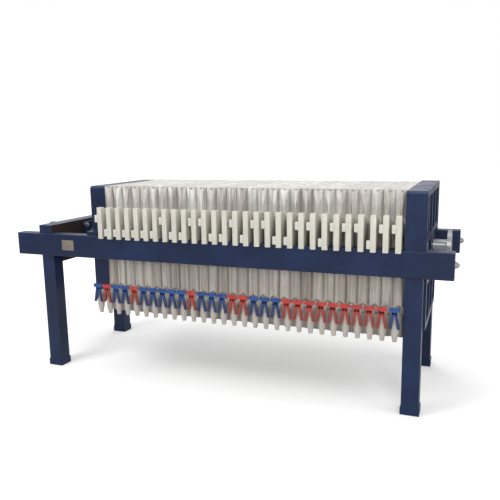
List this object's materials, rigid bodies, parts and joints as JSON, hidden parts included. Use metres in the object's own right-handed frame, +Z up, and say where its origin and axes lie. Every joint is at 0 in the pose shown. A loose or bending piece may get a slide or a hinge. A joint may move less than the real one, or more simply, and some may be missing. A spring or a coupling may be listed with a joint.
{
  "type": "plate filter press",
  "caption": "Side-beam recessed-plate filter press with a closed pack of square plates, cloths and drain taps between a press head and a thrust head.",
  "frame": {"origin": "on the floor, midway along and across the machine", "axes": "+X along the beams towards the thrust head and feed inlet, +Y from the near beam to the far one, +Z up"},
  "size_m": [2.63, 0.9726, 1.126],
  "materials": {
    "blue_paint": "semi-gloss blue enamel",
    "cylinder_paint": "semi-gloss blue enamel",
    "ram_chrome": "ground and hard chromed",
    "inlet_steel": "brushed stainless",
    "plate_plastic": "moulded white polypropylene",
    "filter_cloth": "woven polypropylene filter cloth",
    "lever_blue": "moulded blue plastic",
    "lever_red": "moulded red plastic"
  },
  "bodies": {
    "frame": {"near_beam": "blue_paint", "far_beam": "blue_paint", "cylinder_seat": "blue_paint", "hydraulic_cylinder": "cylinder_paint", "thrust_head": "blue_paint", "feed_inlet": "inlet_steel", "near_left_leg": "blue_paint", "far_left_leg": "blue_paint", "near_right_leg": "blue_paint", "far_right_leg": "blue_paint"},
    "plate_29": {"filter_plate_29": "plate_plastic"},
    "plate_28": {"filter_plate_28": "plate_plastic"},
    "plate_27": {"filter_plate_27": "plate_plastic"},
    "plate_26": {"filter_plate_26": "plate_plastic"},
    "plate_25": {"filter_plate_25": "plate_plastic"},
    "plate_24": {"filter_plate_24": "plate_plastic"},
    "plate_23": {"filter_plate_23": "plate_plastic"},
    "plate_22": {"filter_plate_22": "plate_plastic"},
    "plate_21": {"filter_plate_21": "plate_plastic"},
    "plate_20": {"filter_plate_20": "plate_plastic"},
    "plate_19": {"filter_plate_19": "plate_plastic"},
    "plate_18": {"filter_plate_18": "plate_plastic"},
    "plate_17": {"filter_plate_17": "plate_plastic"},
    "plate_16": {"filter_plate_16": "plate_plastic"},
    "plate_15": {"filter_plate_15": "plate_plastic"},
    "plate_14": {"filter_plate_14": "plate_plastic"},
    "plate_13": {"filter_plate_13": "plate_plastic"},
    "plate_12": {"filter_plate_12": "plate_plastic"},
    "plate_11": {"filter_plate_11": "plate_plastic"},
    "plate_10": {"filter_plate_10": "plate_plastic"},
    "plate_09": {"filter_plate_09": "plate_plastic"},
    "plate_08": {"filter_plate_08": "plate_plastic"},
    "plate_07": {"filter_plate_07": "plate_plastic"},
    "plate_06": {"filter_plate_06": "plate_plastic"},
    "plate_05": {"filter_plate_05": "plate_plastic"},
    "plate_04": {"filter_plate_04": "plate_plastic"},
    "plate_03": {"filter_plate_03": "plate_plastic"},
    "plate_02": {"filter_plate_02": "plate_plastic"},
    "plate_01": {"filter_plate_01": "plate_plastic"},
    "head": {"press_head": "blue_paint", "ram": "ram_chrome"}
  },
  "joints": [
    {"name": "plate_29_slide", "type": "slide", "parent": "frame", "child": "plate_29", "axis": [-1, 0, 0], "range_m": [0, 0.004]},
    {"name": "plate_28_slide", "type": "slide", "parent": "plate_29", "child": "plate_28", "axis": [-1, 0, 0], "range_m": [0, 0.004]},
    {"name": "plate_27_slide", "type": "slide", "parent": "plate_28", "child": "plate_27", "axis": [-1, 0, 0], "range_m": [0, 0.004]},
    {"name": "plate_26_slide", "type": "slide", "parent": "plate_27", "child": "plate_26", "axis": [-1, 0, 0], "range_m": [0, 0.004]},
    {"name": "plate_25_slide", "type": "slide", "parent": "plate_26", "child": "plate_25", "axis": [-1, 0, 0], "range_m": [0, 0.004]},
    {"name": "plate_24_slide", "type": "slide", "parent": "plate_25", "child": "plate_24", "axis": [-1, 0, 0], "range_m": [0, 0.004]},
    {"name": "plate_23_slide", "type": "slide", "parent": "plate_24", "child": "plate_23", "axis": [-1, 0, 0], "range_m": [0, 0.004]},
    {"name": "plate_22_slide", "type": "slide", "parent": "plate_23", "child": "plate_22", "axis": [-1, 0, 0], "range_m": [0, 0.004]},
    {"name": "plate_21_slide", "type": "slide", "parent": "plate_22", "child": "plate_21", "axis": [-1, 0, 0], "range_m": [0, 0.004]},
    {"name": "plate_20_slide", "type": "slide", "parent": "plate_21", "child": "plate_20", "axis": [-1, 0, 0], "range_m": [0, 0.004]},
    {"name": "plate_19_slide", "type": "slide", "parent": "plate_20", "child": "plate_19", "axis": [-1, 0, 0], "range_m": [0, 0.004]},
    {"name": "plate_18_slide", "type": "slide", "parent": "plate_19", "child": "plate_18", "axis": [-1, 0, 0], "range_m": [0, 0.004]},
    {"name": "plate_17_slide", "type": "slide", "parent": "plate_18", "child": "plate_17", "axis": [-1, 0, 0], "range_m": [0, 0.004]},
    {"name": "plate_16_slide", "type": "slide", "parent": "plate_17", "child": "plate_16", "axis": [-1, 0, 0], "range_m": [0, 0.004]},
    {"name": "plate_15_slide", "type": "slide", "parent": "plate_16", "child": "plate_15", "axis": [-1, 0, 0], "range_m": [0, 0.004]},
    {"name": "plate_14_slide", "type": "slide", "parent": "plate_15", "child": "plate_14", "axis": [-1, 0, 0], "range_m": [0, 0.004]},
    {"name": "plate_13_slide", "type": "slide", "parent": "plate_14", "child": "plate_13", "axis": [-1, 0, 0], "range_m": [0, 0.004]},
    {"name": "plate_12_slide", "type": "slide", "parent": "plate_13", "child": "plate_12", "axis": [-1, 0, 0], "range_m": [0, 0.004]},
    {"name": "plate_11_slide", "type": "slide", "parent": "plate_12", "child": "plate_11", "axis": [-1, 0, 0], "range_m": [0, 0.004]},
    {"name": "plate_10_slide", "type": "slide", "parent": "plate_11", "child": "plate_10", "axis": [-1, 0, 0], "range_m": [0, 0.004]},
    {"name": "plate_09_slide", "type": "slide", "parent": "plate_10", "child": "plate_09", "axis": [-1, 0, 0], "range_m": [0, 0.004]},
    {"name": "plate_08_slide", "type": "slide", "parent": "plate_09", "child": "plate_08", "axis": [-1, 0, 0], "range_m": [0, 0.004]},
    {"name": "plate_07_slide", "type": "slide", "parent": "plate_08", "child": "plate_07", "axis": [-1, 0, 0], "range_m": [0, 0.004]},
    {"name": "plate_06_slide", "type": "slide", "parent": "plate_07", "child": "plate_06", "axis": [-1, 0, 0], "range_m": [0, 0.004]},
    {"name": "plate_05_slide", "type": "slide", "parent": "plate_06", "child": "plate_05", "axis": [-1, 0, 0], "range_m": [0, 0.004]},
    {"name": "plate_04_slide", "type": "slide", "parent": "plate_05", "child": "plate_04", "axis": [-1, 0, 0], "range_m": [0, 0.004]},
    {"name": "plate_03_slide", "type": "slide", "parent": "plate_04", "child": "plate_03", "axis": [-1, 0, 0], "range_m": [0, 0.004]},
    {"name": "plate_02_slide", "type": "slide", "parent": "plate_03", "child": "plate_02", "axis": [-1, 0, 0], "range_m": [0, 0.004]},
    {"name": "plate_01_slide", "type": "slide", "parent": "plate_02", "child": "plate_01", "axis": [-1, 0, 0], "range_m": [0, 0.004]},
    {"name": "press_head_slide", "type": "slide", "parent": "plate_01", "child": "head", "axis": [-1, 0, 0], "range_m": [0, 0.074]}
  ]
}
